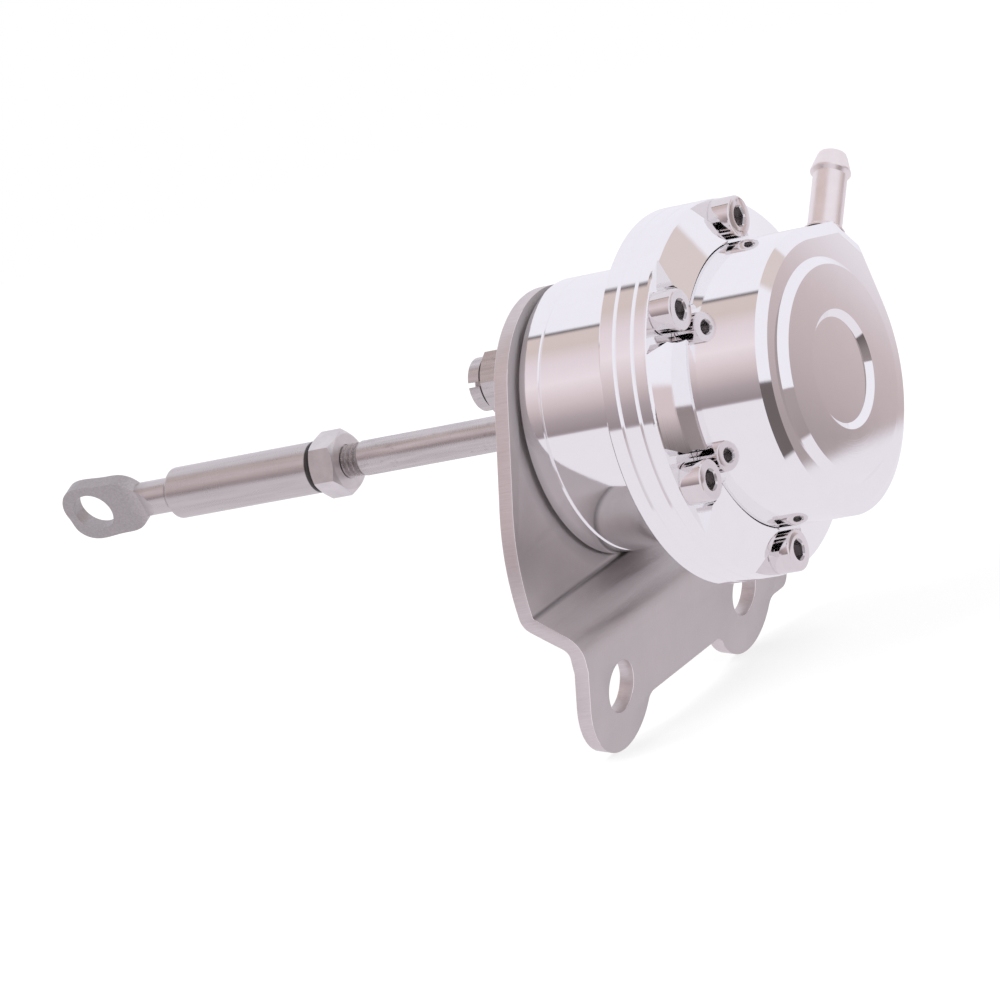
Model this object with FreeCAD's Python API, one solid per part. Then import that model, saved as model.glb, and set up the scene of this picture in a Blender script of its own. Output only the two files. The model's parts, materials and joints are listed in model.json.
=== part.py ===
"""Pneumatic wastegate actuator of a turbocharger, in millimetres.

A polished canister with a diaphragm, a spring and a rod sits on a bent steel bracket. A ring with
six socket screws holds the cap and its hose nipple. Pressure at the nipple pushes the rod out.

The pieces are drawn along a local axis: x runs from the canister's base towards the cap, z is up and
y points to the far side, where the nipple leans. The whole part is then moved so that its origin is
midway between the two bolt holes, on the back face of the bracket's tab.
"""
import FreeCAD, Part
import math
import os
from FreeCAD import Vector

X = Vector(1, 0, 0)

# Bracket
plate_thickness = 2.6
plate_top_radius = 21.7
plate_top_side = 3.75
plate_top_drop = -1.65
side_lean_degrees = 28.0
shoulder_radius = 34.0
near_shoulder = 2.2
far_shoulder = 5.5
first_bend_drop = 22.57
first_bend_radius = 0.5
web_degrees = 50.0
web_length = 5.948
second_bend_radius = 2.0
tab_lean_degrees = 15.5
ear_hole_diameter = 8.8
ear_hole_spacing = 46.0
ear_hole_place = 8.848
ear_radius = 11.0
ear_root_radius = 2.4
tab_edge_place = 13.75
tab_corner_radius = 2.0
plate_centre_hole_diameter = 13.0

# Studs and lock nuts that hold the canister on the bracket
stud_diameter = 6.0
stud_circle_radius = 18.6
stud_clock_degrees = 50.0
stud_depth = 2.6
stud_clearance = 0.25
stud_edge = 0.5
turret_nut_flats = 10.0
turret_nut_hex_height = 4.4
turret_diameter = 8.9
turret_height = 2.6
turret_slit = 0.55
turret_cut = 0.8
turret_web = 3.2
turret_clock_degrees = 75.0

# Cap
cap_radius = 23.6
cap_lip_width = 1.5
cap_lip_radius = cap_radius + cap_lip_width
cap_lip_back = 26.0
cap_lip_front = 28.9
cap_wall = 2.8
cap_bore_radius = cap_radius - cap_wall
cap_cavity_end = 44.0
cap_chamfer_start = 45.6
cap_chamfer_width = 2.0
cap_chamfer_radius = cap_radius - cap_chamfer_width
cap_ledge_place = 46.7
cap_ledge_width = 3.0
cap_ledge_radius = cap_chamfer_radius - cap_ledge_width
cap_face_place = 48.0
cap_step_width = 1.4
cap_face_radius = cap_ledge_radius - cap_step_width
cap_recess_radius = 9.85
cap_recess_floor_radius = 8.7
cap_recess_depth = 0.9
boss_rise = 1.8
boss_height = cap_radius + boss_rise
boss_half_width = 4.4

# Canister
body_step = 0.5
body_radius = cap_radius - body_step
body_wall = 2.5
body_bore_radius = body_radius - body_wall
base_thickness = 3.0
base_chamfer = 0.6
lip_groove_place = 4.4
lip_groove_width = 0.6
lip_groove_depth = 0.35
screw_to_lip = 2.4
screw_circle_radius = cap_lip_radius + screw_to_lip
screw_to_rim = 3.7
flange_radius = screw_circle_radius + screw_to_rim
flange_back = 20.95
flange_front = 27.4
flange_neck = 0.8
flange_groove_place = 24.0
flange_groove_depth = 0.35
flange_edge = 0.35
hub_radius = 7.5
hub_height = 8.0
vent_diameter = 2.0
vent_place = 12.0
vent_clock_degrees = 180.0

# Ring, its screw pockets and screws
ring_rim_front = 30.0
ring_inner_front = 33.0
ring_rim_fillet = 0.8
ring_bore_edge = 0.3
screw_count = 6
screw_clock_degrees = -14.0
screw_diameter = 4.0
screw_length = 8.0
screw_head_diameter = 7.0
screw_head_height = 4.0
screw_head_edge = 0.35
screw_point_edge = 0.4
screw_hex_flats = 3.0
screw_hex_depth = 2.2
screw_hole_clearance = 0.25
pocket_radius = 5.1
pocket_flare_degrees = 49.0
pocket_flare_drop = 0.6
running_clearance = 0.08
free_gap = 0.3

# Hose nipple
nipple_clock_degrees = -44.8
nipple_place = 41.4
nipple_radius = 2.87
nipple_bore_radius = 1.5
nipple_thread_radius = 2.5
nipple_thread_gap = 0.4
nipple_flange_radius = 3.5
nipple_flange_edge = 0.3
nipple_flange_height = 0.9
nipple_barrel_length = 11.5
nipple_barb_rise = 0.6
nipple_barb_radius = 3.38
nipple_barb_land = 0.3
nipple_tip_radius = 2.6
nipple_tip_length = 3.7
nipple_tip_fillet = 0.9
nipple_washer_thickness = 0.8
nipple_washer_radius = 3.6
nipple_washer_bulge = 0.15

# Diaphragm, piston and spring
diaphragm_thickness = 0.6
diaphragm_bead_thickness = 1.4
diaphragm_bead_step = 1.0
diaphragm_bead_inner_radius = body_bore_radius + diaphragm_bead_step
diaphragm_loop_place = 21.5
piston_gap = 3.3
piston_radius = body_bore_radius - piston_gap
piston_crown_back = 27.5
piston_crown_thickness = 2.0
piston_skirt_length = 10.0
piston_wall = 1.5
piston_hub_radius = 7.0
piston_hub_length = 1.5
clamp_plate_inset = 2.8
clamp_plate_radius = piston_radius - clamp_plate_inset
clamp_plate_thickness = 2.0
clamp_plate_edge = 0.8
washer_thickness = 1.0
washer_radius = 5.0
piston_nut_flats = 8.0
piston_nut_height = 4.7
spring_wire_radius = 1.05
spring_to_skirt = 3.4
spring_mean_radius = piston_radius - piston_wall - spring_to_skirt
spring_active_half_turns = 7
spring_closed_pitch = 2.2
spring_ground_depth = 0.21
spring_seat_thickness = 0.8
spring_seat_lip = 2.2
spring_seat_play = 0.6
cap_stop_inset = 1.0
cap_stop_radius = clamp_plate_radius - cap_stop_inset
cap_stop_wall = 2.0
cap_stop_slot = 5.0

# Rod, bush and seal
rod_radius = 3.0
rod_thread_radius = 2.9
rod_stud_radius = 2.5
rod_thread_start = -46.1
rod_thread_end = -72.0
rod_tip_overhang = 0.8
bush_radius = 4.6
bush_length = 8.0
bush_clearance = 0.03
seal_radius = 5.4
seal_depth = 1.6
seal_clearance = 0.05

# Lock nut and rod end
lock_nut_front = -49.4
lock_nut_height = 5.0
lock_nut_flats = 10.0
lock_nut_clock_degrees = 46.0
sleeve_radius = 4.45
sleeve_length = 32.0
sleeve_lead = 0.9
sleeve_edge = 1.3
sleeve_bore_depth = 20.0
thread_clearance = 0.04
thread_edge = 0.5
neck_radius = 3.0
neck_length = 6.3
eye_run_out = 3.2
eye_hole_radius = 3.75
eye_thickness = 2.8
eye_wall = 1.75
eye_tip_bulge = 0.4
eye_tip_half_width = 3.0
eye_corner = 1.6
eye_corner_half_width = 4.5
eye_half_width = 5.15
eye_shoulder = 2.8
eye_shoulder_half_width = 4.8
eye_reach = 10.4
eye_clock_degrees = 108.4

hex_chamfer_degrees = 30.0
hex_face_share = 0.96


def at(place, radius, degrees):
    """Point at a distance along the axis, at a radius and an angle from up, turning to the front side."""
    turn = math.radians(degrees)
    return Vector(place, -radius * math.sin(turn), radius * math.cos(turn))


def revolve(points):
    """Solid of revolution about the x axis from (place, radius) points."""
    wire = Part.makePolygon([Vector(place, 0, radius) for place, radius in points + points[:1]])
    return Part.Face(wire).revolve(Vector(0, 0, 0), X, 360)


def rod(start, end, radius):
    """Plain cylinder along the x axis."""
    return Part.makeCylinder(radius, end - start, Vector(start, 0, 0), X)


def tube(start, end, outer, inner):
    """Plain tube along the x axis."""
    return rod(start, end, outer).cut(rod(start, end, inner))


def hexagon(start, end, flats):
    """Hexagonal prism along the x axis with one corner up."""
    corner = flats / math.sqrt(3)
    points = [at(start, corner, 60 * step) for step in range(7)]
    return Part.Face(Part.makePolygon(points)).extrude(Vector(end - start, 0, 0))


def hex_nut(start, end, flats, bore):
    """Hexagon nut along the x axis with turned corners and a plain bore."""
    corner = flats / math.sqrt(3)
    low = flats / 2 * hex_face_share
    drop = (corner - low) * math.tan(math.radians(hex_chamfer_degrees))
    blank = [(start, 0), (start, low), (start + drop, corner), (end - drop, corner), (end, low), (end, 0)]
    return hexagon(start, end, flats).common(revolve(blank)).cut(rod(start, end, bore))


def turned(shape, degrees):
    """Copy of a shape turned about the x axis, from up towards the front side."""
    copy = shape.copy()
    copy.rotate(Vector(0, 0, 0), X, degrees)
    return copy


def ring_of(shape, count, start_degrees):
    """Copies of a shape, evenly turned about the x axis."""
    return [turned(shape, start_degrees + 360 / count * step) for step in range(count)]


def fillet_at(shape, radius, wanted):
    """Rounds the edges that a test picks."""
    edges = [edge for edge in shape.Edges if wanted(edge)]
    return shape.makeFillet(radius, edges)


# Bracket


def near_side():
    """Side of the tab's near edge, which runs into the near ear."""
    return ear_hole_spacing / 2 + ear_radius


def plate_side(sign, shoulder, edge):
    """Points of one side of the plate, as (side, drop): top circle, shoulder, its middle and its end."""
    lean = math.radians(side_lean_degrees)
    top = sign * plate_top_side
    reach = top * math.cos(lean) - plate_top_drop * math.sin(lean) + plate_top_radius
    side = shoulder - shoulder_radius
    drop = (side * math.cos(lean) + shoulder_radius - reach) / math.sin(lean)
    last = math.acos((edge - side) / shoulder_radius)
    spots = [(top + plate_top_radius * math.cos(lean), plate_top_drop - plate_top_radius * math.sin(lean))]
    for turn in (-lean, (last - lean) / 2, last):
        spots.append((side + shoulder_radius * math.cos(turn), drop + shoulder_radius * math.sin(turn)))
    return [Vector(0, -sign * side, -drop) for side, drop in spots]


def plate_outline():
    """Outline of the plate seen along the axis: a round top off the axis, leaning sides and shoulders."""
    near = plate_side(1, near_side() + near_shoulder, near_side())
    far = plate_side(-1, near_side() + far_shoulder, near_side() + far_shoulder)
    top = Vector(0, -plate_top_side, plate_top_radius - plate_top_drop)
    low = Vector(0, 0, -2 * shoulder_radius)
    edges = [Part.Arc(far[0], top, near[0]).toShape()]
    for side in (near, far):
        foot = Vector(0, side[3].y, low.z)
        edges += [Part.makeLine(side[0], side[1]), Part.Arc(*side[1:]).toShape(), Part.makeLine(side[3], foot)]
        edges.append(Part.makeLine(foot, low))
    return Part.Face(Part.Wire(Part.__sortEdges__(edges)))


def heading_down(degrees):
    """Direction down the bent strip, turned from straight down towards the front."""
    turn = math.radians(degrees)
    return Vector(math.sin(turn), 0, -math.cos(turn))


def heading_out(degrees):
    """Direction out of the strip's front face, where the strip is turned by an angle."""
    turn = math.radians(degrees)
    return Vector(math.cos(turn), 0, math.sin(turn))


def bend(spot, before, after, inner):
    """Front and back arcs of a bend that starts at a spot on the front face, and the spot where it ends."""
    outer = inner + plate_thickness
    front, back = (-inner, -outer) if after > before else (outer, inner)
    centre = spot - heading_out(before) * front
    arcs = []
    for reach in (front, back):
        points = [centre + heading_out(turn) * reach for turn in (before, (before + after) / 2, after)]
        arcs.append(Part.Arc(*points).toShape())
    return arcs, centre + heading_out(after) * front


def strip_walk():
    """Section of the bent strip, and the spot on its front face where the tab starts."""
    top = Vector(0, 0, 2 * plate_top_radius)
    legs = [(first_bend_drop + top.z, 0, 0), (web_length, web_degrees, first_bend_radius),
            (2 * shoulder_radius, -tab_lean_degrees, second_bend_radius)]
    edges = []
    before = 0
    start = top
    for length, heading, radius in legs:
        if heading != before:
            arcs, start = bend(start, before, heading, radius)
            edges += arcs
        end = start + heading_down(heading) * length
        behind = heading_out(heading) * plate_thickness
        edges += [Part.makeLine(start, end), Part.makeLine(start - behind, end - behind)]
        tab_start = start
        start, before = end, heading
    edges += [Part.makeLine(top, top - X * plate_thickness), Part.makeLine(end, end - behind)]
    return Part.Face(Part.Wire(Part.__sortEdges__(edges))), tab_start


def tab_spot(side, place, lift=0.0):
    """Point on the tab: side towards the front, place down from the bend, lift out of its front face."""
    down = heading_down(-tab_lean_degrees) * place
    return strip_walk()[1] + down + heading_out(-tab_lean_degrees) * lift - Vector(0, side, 0)


def tab_arc(centre, radius, first, last):
    """Arc on the tab about a (side, place) centre, with its angles from the near side turning down."""
    points = []
    for degrees in (first, (first + last) / 2, last):
        turn = math.radians(degrees)
        points.append(tab_spot(centre[0] + radius * math.cos(turn), centre[1] + radius * math.sin(turn)))
    return Part.Arc(*points).toShape()


def ear_root(sign):
    """Side of the root fillet's centre, seen from its ear, and the angle where it meets the ear."""
    drop = tab_edge_place + ear_root_radius - ear_hole_place
    side = math.sqrt((ear_radius + ear_root_radius) ** 2 - drop ** 2)
    return sign * side, math.degrees(math.atan2(drop, sign * side))


def ear_sides():
    """Sides of the near and the far bolt hole."""
    return ear_hole_spacing / 2, -ear_hole_spacing / 2


def tab_waste():
    """What the strip loses below the tab's edge: all but the two round ears with their filleted roots."""
    near, far = ear_sides()
    root_place = tab_edge_place + ear_root_radius
    curves = []
    for side, root_signs in ((near, (-1,)), (far, (1, -1))):
        meets = [ear_root(sign)[1] for sign in root_signs]
        curves.append(tab_arc((side, ear_hole_place), ear_radius, meets[0] if len(meets) > 1 else 0, meets[-1]))
        for sign, meet in zip(root_signs, meets):
            centre = (side + ear_root(sign)[0], root_place)
            curves.append(tab_arc(centre, ear_root_radius, meet + sign * 180, 90 + sign * 180))
    roots = [near + ear_root(-1)[0], far + ear_root(1)[0], far + ear_root(-1)[0]]
    corner = -near_side() - far_shoulder
    corner_start = corner + tab_corner_radius
    corner_end = tab_edge_place - tab_corner_radius
    curves.append(tab_arc((corner_start, corner_end), tab_corner_radius, 90, 180))
    reach = 2 * near_side()
    outline = [(corner, corner_end), (-reach, corner_end), (-reach, reach), (reach, reach),
               (reach, ear_hole_place), (near_side(), ear_hole_place)]
    lines = list(zip(outline, outline[1:]))
    for side, other in ((roots[0], roots[1]), (roots[2], corner_start)):
        lines.append(((side, tab_edge_place), (other, tab_edge_place)))
    curves += [Part.makeLine(tab_spot(*first), tab_spot(*last)) for first, last in lines]
    face = Part.Face(Part.Wire(Part.__sortEdges__(curves)))
    out = heading_out(-tab_lean_degrees) * plate_thickness
    face.translate(out * -2)
    return face.extrude(out * 4)


def bracket():
    """Plate, web and leaning tab with two ears, cut from the bent strip by its outlines."""
    depth = 8 * plate_thickness
    blank = plate_outline().extrude(X * depth)
    blank.translate(X * (-depth / 2))
    width = 4 * near_side()
    strip = strip_walk()[0]
    strip.translate(Vector(0, -width / 2, 0))
    plate = strip.extrude(Vector(0, width, 0)).common(blank).cut(tab_waste())
    holes = [Part.makeCylinder(ear_hole_diameter / 2, depth, tab_spot(side, ear_hole_place, -depth / 2),
                               heading_out(-tab_lean_degrees)) for side in ear_sides()]
    holes.append(rod(-depth, depth, plate_centre_hole_diameter / 2))
    for degrees in stud_degrees():
        start = at(-depth / 2, stud_circle_radius, degrees)
        holes.append(Part.makeCylinder(stud_diameter / 2 + stud_clearance, depth, start, X))
    return plate.cut(holes)


# Studs and their lock nuts


def stud_degrees():
    """Angles of the two studs, opposite each other."""
    return [stud_clock_degrees, stud_clock_degrees + 180]


def bracket_studs():
    """Two studs, from inside the canister's base to the ends of their nuts."""
    length = turret_nut_hex_height + turret_height + plate_thickness + stud_depth
    studs = []
    for degrees in stud_degrees():
        stud = Part.makeCylinder(stud_diameter / 2, length, Vector(stud_depth - length, 0, 0), X)
        stud = stud.makeChamfer(stud_edge, [stud.Edges[0], stud.Edges[2]])
        stud.translate(at(0, stud_circle_radius, degrees))
        studs.append(stud)
    return Part.makeCompound(studs)


def stud_nuts():
    """Two all-metal lock nuts, each a hexagon with a turret that two slits and one cut make springy."""
    seat = -plate_thickness
    hex_end = seat - turret_nut_hex_height
    end = hex_end - turret_height
    nut = hex_nut(hex_end, seat, turret_nut_flats, stud_diameter / 2)
    nut = nut.fuse(tube(end, hex_end, turret_diameter / 2, stud_diameter / 2))
    reach = turret_diameter
    for sign in (1, -1):
        corner = Vector(hex_end - turret_slit, -reach, turret_web / 2)
        slit = Part.makeBox(turret_slit, reach * 2, reach, corner)
        slit.rotate(Vector(0, 0, 0), X, 90 - sign * 90)
        nut = nut.cut(slit)
    nut = nut.cut(Part.makeBox(turret_height, turret_cut, reach, Vector(end, -turret_cut / 2, 0)))
    nuts = []
    for degrees in stud_degrees():
        copy = turned(nut, turret_clock_degrees)
        copy.translate(at(0, stud_circle_radius, degrees))
        nuts.append(copy)
    return Part.makeCompound(nuts)


# Canister


def recess_radius():
    """Bore that centres the cap's lip in the canister and in the ring."""
    return cap_lip_radius + running_clearance


def bead_back():
    """Floor of the recess that holds the diaphragm's bead."""
    return cap_lip_back - diaphragm_bead_thickness


def canister():
    """Turned cup with a base hub, a lip groove and a flange with six threaded holes."""
    groove = lip_groove_width / 2
    neck = flange_neck
    profile = [(0, 0), (0, body_radius - base_chamfer), (base_chamfer, body_radius),
               (lip_groove_place - groove, body_radius), (lip_groove_place, body_radius - lip_groove_depth),
               (lip_groove_place + groove, body_radius), (flange_back - neck, body_radius),
               (flange_back, body_radius + neck), (flange_back, flange_radius - flange_edge),
               (flange_back + flange_edge, flange_radius),
               (flange_groove_place - flange_groove_depth, flange_radius),
               (flange_groove_place, flange_radius - flange_groove_depth),
               (flange_groove_place + flange_groove_depth, flange_radius),
               (flange_front - flange_edge, flange_radius), (flange_front, flange_radius - flange_edge),
               (flange_front, recess_radius()), (bead_back(), recess_radius()),
               (bead_back(), body_bore_radius), (base_thickness, body_bore_radius),
               (base_thickness, hub_radius), (hub_height, hub_radius), (hub_height, 0)]
    cup = revolve(profile)
    cup = cup.cut(rod(0, seal_depth, seal_radius))
    cup = cup.cut(rod(seal_depth, hub_height, bush_radius))
    cuts = []
    for degrees in stud_degrees():
        cuts.append(Part.makeCylinder(stud_diameter / 2, stud_depth, at(0, stud_circle_radius, degrees), X))
    thread_depth = ring_rim_front - screw_length
    hole_start = at(thread_depth, screw_circle_radius, 0)
    hole = Part.makeCylinder(screw_diameter / 2, flange_front - thread_depth, hole_start, X)
    cuts += ring_of(hole, screw_count, screw_clock_degrees)
    vent_way = at(0, 1, vent_clock_degrees)
    cuts.append(Part.makeCylinder(vent_diameter / 2, body_radius, Vector(vent_place, 0, 0), vent_way))
    return cup.cut(cuts)


# Ring and screws


def pocket():
    """Screw pocket at the top: round inside, flaring out to the rim."""
    height = ring_inner_front
    centre = at(ring_rim_front, screw_circle_radius, 0)
    turn = math.radians(pocket_flare_degrees)
    far = flange_radius + pocket_radius
    first = Vector(0, -pocket_radius, screw_circle_radius - pocket_flare_drop)
    rise = far - first.z
    last = first + Vector(0, -rise * math.tan(turn), rise)
    points = [first, last, Vector(0, -last.y, last.z), Vector(0, -first.y, first.z), first]
    flare = Part.Face(Part.makePolygon(points)).extrude(X * height)
    flare.translate(Vector(ring_rim_front, 0, 0))
    return Part.makeCylinder(pocket_radius, height, centre, X).fuse(flare)


def cover_ring():
    """Ring with a sloping front that holds the cap's lip, with six screw pockets."""
    bore = cap_radius + running_clearance
    recess_front = cap_lip_front + running_clearance / 2
    profile = [(flange_front, recess_radius()), (flange_front, flange_radius - flange_edge),
               (flange_front + flange_edge, flange_radius), (ring_rim_front, flange_radius),
               (ring_inner_front, bore + ring_bore_edge), (ring_inner_front - ring_bore_edge, bore),
               (recess_front, bore), (recess_front, recess_radius())]
    ring = revolve(profile)
    rim = flange_radius
    ring = fillet_at(ring, ring_rim_fillet, lambda edge: is_circle(edge, ring_rim_front, rim))
    ring = ring.cut(ring_of(pocket(), screw_count, screw_clock_degrees))
    radius = screw_diameter / 2 + screw_hole_clearance
    hole = Part.makeCylinder(radius, ring_rim_front - flange_front, at(flange_front, screw_circle_radius, 0), X)
    return ring.cut(ring_of(hole, screw_count, screw_clock_degrees))


def is_circle(edge, place, radius):
    """True for a circle about the axis at a place with a radius."""
    curve = edge.Curve
    if not isinstance(curve, Part.Circle):
        return False
    return abs(curve.Center.x - place) < 1e-4 and abs(curve.Radius - radius) < 1e-4


def cap_screws():
    """Six socket head cap screws with chamfered heads."""
    seat = ring_rim_front
    top = seat + screw_head_height
    head = rod(seat, top, screw_head_diameter / 2)
    rim = [edge for edge in head.Edges if is_circle(edge, top, screw_head_diameter / 2)]
    head = head.makeChamfer(screw_head_edge, rim)
    shank = rod(seat - screw_length, seat, screw_diameter / 2)
    point = [edge for edge in shank.Edges if is_circle(edge, seat - screw_length, screw_diameter / 2)]
    shank = shank.makeChamfer(screw_point_edge, point)
    screw = head.fuse(shank).cut(hexagon(top - screw_hex_depth, top, screw_hex_flats))
    screw.translate(Vector(0, 0, screw_circle_radius))
    return Part.makeCompound(ring_of(screw, screw_count, screw_clock_degrees))


# Cap and nipple


def boss_outline(place, inset):
    """Outline of the boss on a plane across the axis, drawn in from its full size by an inset."""
    round_radius = cap_radius - inset
    corner = math.hypot(boss_height, boss_half_width)
    turn = math.atan2(boss_half_width, boss_height) + math.acos(cap_radius / corner)
    touch = (round_radius * math.sin(turn), round_radius * math.cos(turn))
    height = boss_height - inset
    half = (round_radius - height * math.cos(turn)) / math.sin(turn)
    outline = [(-touch[0], touch[1]), (-half, height), (half, height), touch, (0, 0), (-touch[0], touch[1])]
    return Part.makePolygon([Vector(place, side, rise) for side, rise in outline])


def boss():
    """Flat-topped boss for the nipple, tangent to the cap's skirt, with the cap's chamfer round its front."""
    back = ring_rim_front + screw_head_height + free_gap
    block = Part.Face(boss_outline(back, 0)).extrude(X * (cap_chamfer_start - back))
    front = boss_outline(cap_ledge_place, cap_radius - cap_chamfer_radius)
    return block.fuse(Part.makeLoft([boss_outline(cap_chamfer_start, 0), front], True, True))


def nipple_direction():
    """Unit direction of the nipple."""
    return at(0, 1, nipple_clock_degrees)


def cap():
    """Cap with a trapped lip, a stepped front, the nipple's boss and a slotted stop for the piston inside."""
    profile = [(cap_lip_back, cap_bore_radius), (cap_lip_back, cap_lip_radius),
               (cap_lip_front, cap_lip_radius), (cap_lip_front, cap_radius),
               (cap_chamfer_start, cap_radius), (cap_ledge_place, cap_chamfer_radius),
               (cap_ledge_place, cap_ledge_radius), (cap_face_place, cap_face_radius),
               (cap_face_place, cap_recess_radius),
               (cap_face_place - cap_recess_depth, cap_recess_floor_radius),
               (cap_face_place - cap_recess_depth, 0), (cap_cavity_end, 0),
               (cap_cavity_end, cap_bore_radius)]
    dome = revolve(profile)
    lug = turned(boss(), nipple_clock_degrees).cut(rod(0, cap_ledge_place, cap_bore_radius))
    stop = tube(washer_start(), cap_cavity_end, cap_stop_radius, cap_stop_radius - cap_stop_wall)
    slot_corner = Vector(0, -cap_radius, -cap_stop_slot / 2)
    slot = Part.makeBox(cap_cavity_end, 2 * cap_radius, cap_stop_slot, slot_corner)
    dome = dome.fuse([lug, stop.cut([slot, turned(slot, 90)])])
    start = Vector(nipple_place, 0, 0)
    hole = Part.makeCylinder(nipple_thread_radius, boss_height + free_gap, start, nipple_direction())
    return dome.cut(hole)


def along_nipple(points):
    """Solid of revolution about the nipple's axis from (height, radius) points."""
    wire = Part.makePolygon([Vector(radius, 0, height) for height, radius in points + points[:1]])
    solid = Part.Face(wire).revolve(Vector(0, 0, 0), Vector(0, 0, 1), 360)
    solid.Placement = FreeCAD.Placement(Vector(nipple_place, 0, 0), FreeCAD.Rotation(X, nipple_clock_degrees))
    return solid


def hose_nipple():
    """Screwed nipple with a flared base, a plain barrel and one barb."""
    start = cap_bore_radius + nipple_thread_gap
    seat = boss_height + nipple_washer_thickness
    flare = seat + nipple_flange_height
    barb = boss_height + nipple_barrel_length
    crest = barb + nipple_barb_rise
    tip = crest + nipple_tip_length
    fillet = nipple_tip_fillet
    inset = fillet * (1 - math.sqrt(0.5))
    profile = [(start, nipple_bore_radius), (start, nipple_thread_radius), (seat, nipple_thread_radius),
               (seat, nipple_flange_radius), (seat + nipple_flange_edge, nipple_flange_radius),
               (flare, nipple_radius), (barb, nipple_radius), (crest, nipple_barb_radius),
               (crest + nipple_barb_land, nipple_barb_radius), (tip - fillet, nipple_tip_radius),
               (tip - inset, nipple_tip_radius - inset), (tip, nipple_tip_radius - fillet),
               (tip, nipple_bore_radius)]
    return along_nipple(profile)


def nipple_seal():
    """Rubber washer squeezed between the nipple and its boss."""
    top = boss_height + nipple_washer_thickness
    face_radius = nipple_washer_radius - nipple_washer_bulge
    profile = [(boss_height, nipple_thread_radius), (boss_height, face_radius),
               ((boss_height + top) / 2, nipple_washer_radius), (top, face_radius), (top, nipple_thread_radius)]
    return along_nipple(profile)


# Diaphragm and piston


def crown_front():
    """Front face of the piston, where the diaphragm lies."""
    return piston_crown_back + piston_crown_thickness


def diaphragm():
    """Rolling diaphragm: clamped bead, one downward loop beside the piston, flat middle on the crown."""
    outer = body_bore_radius - free_gap
    inner = piston_radius + free_gap
    middle = (outer + inner) / 2
    loop_outer = (outer - inner) / 2
    loop_inner = loop_outer - diaphragm_thickness
    bottom = diaphragm_loop_place
    top = crown_front()
    bead = cap_lip_back
    web = bead - diaphragm_thickness

    def spot(place, radius):
        return Vector(place, 0, radius)

    def line(first, last):
        return Part.makeLine(spot(*first), spot(*last))

    def loop(radius):
        lowest = spot(bottom - radius, middle)
        return Part.Arc(spot(bottom, middle + radius), lowest, spot(bottom, middle - radius)).toShape()

    wall_out, wall_in = middle + loop_outer, middle + loop_inner
    skirt_in, skirt_out = middle - loop_outer, middle - loop_inner
    face = top + diaphragm_thickness
    path = [line((bead_back(), recess_radius()), (bead, recess_radius())),
            line((bead, recess_radius()), (bead, wall_in)), line((bead, wall_in), (bottom, wall_in)),
            loop(loop_inner), line((bottom, skirt_out), (face, skirt_out)),
            line((face, skirt_out), (face, rod_stud_radius)),
            line((face, rod_stud_radius), (top, rod_stud_radius)),
            line((top, rod_stud_radius), (top, skirt_in)), line((top, skirt_in), (bottom, skirt_in)),
            loop(loop_outer), line((bottom, wall_out), (web, wall_out)),
            line((web, wall_out), (web, diaphragm_bead_inner_radius)),
            line((web, diaphragm_bead_inner_radius), (bead_back(), diaphragm_bead_inner_radius)),
            line((bead_back(), diaphragm_bead_inner_radius), (bead_back(), recess_radius()))]
    section = Part.Face(Part.Wire(Part.__sortEdges__(path)))
    return section.revolve(Vector(0, 0, 0), X, 360)


def piston():
    """Cup piston with a skirt that the diaphragm rolls along."""
    back = piston_crown_back
    front = crown_front()
    skirt = front - piston_skirt_length
    profile = [(back - piston_hub_length, rod_stud_radius), (back - piston_hub_length, piston_hub_radius),
               (back, piston_hub_radius), (back, piston_radius - piston_wall),
               (skirt, piston_radius - piston_wall), (skirt, piston_radius),
               (front, piston_radius), (front, rod_stud_radius)]
    return revolve(profile)


def clamp_plate():
    """Dished plate that clamps the diaphragm on the piston."""
    start = crown_front() + diaphragm_thickness
    end = start + clamp_plate_thickness
    edge = clamp_plate_edge
    return revolve([(start, rod_stud_radius), (start, clamp_plate_radius - edge),
                    (start + edge, clamp_plate_radius), (end, clamp_plate_radius), (end, rod_stud_radius)])


def washer_start():
    """Back face of the washer under the piston's nut."""
    return crown_front() + diaphragm_thickness + clamp_plate_thickness


def piston_washer():
    """Flat washer under the piston's nut."""
    return tube(washer_start(), washer_start() + washer_thickness, washer_radius, rod_stud_radius)


def piston_nut():
    """Hexagon nut that holds the piston stack on the rod."""
    start = washer_start() + washer_thickness
    return hex_nut(start, start + piston_nut_height, piston_nut_flats, rod_stud_radius)


# Spring


def spring_places():
    """Places along the axis where the wire's half turns meet: a closed turn, open turns, a closed turn."""
    start = base_thickness + spring_seat_thickness + spring_wire_radius - spring_ground_depth
    end = piston_crown_back - spring_wire_radius + spring_ground_depth
    closed = [spring_closed_pitch / 2] * 2
    open_rise = (end - start - 2 * spring_closed_pitch) / spring_active_half_turns
    places = [start]
    for rise in closed + [open_rise] * spring_active_half_turns + closed:
        places.append(places[-1] + rise)
    return places


def main_spring():
    """Coil spring of tilted half turns that meet smoothly, with closed, ground ends."""
    places = spring_places()
    coils = []
    for step, (start, end) in enumerate(zip(places, places[1:])):
        first = at(start, spring_mean_radius, 180 * step)
        middle = (first + at(end, spring_mean_radius, 180 * step + 180)) / 2
        heading = at(0, 1, 180 * step + 90)
        disc = Part.Face(Part.Wire([Part.makeCircle(spring_wire_radius, first, heading)]))
        coils.append(disc.revolve(middle, (first - middle).cross(heading), 180))
    wire = coils[0].fuse(coils[1:]).removeSplitter()
    room = rod(base_thickness + spring_seat_thickness, piston_crown_back, body_bore_radius)
    return wire.common(room)


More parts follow.
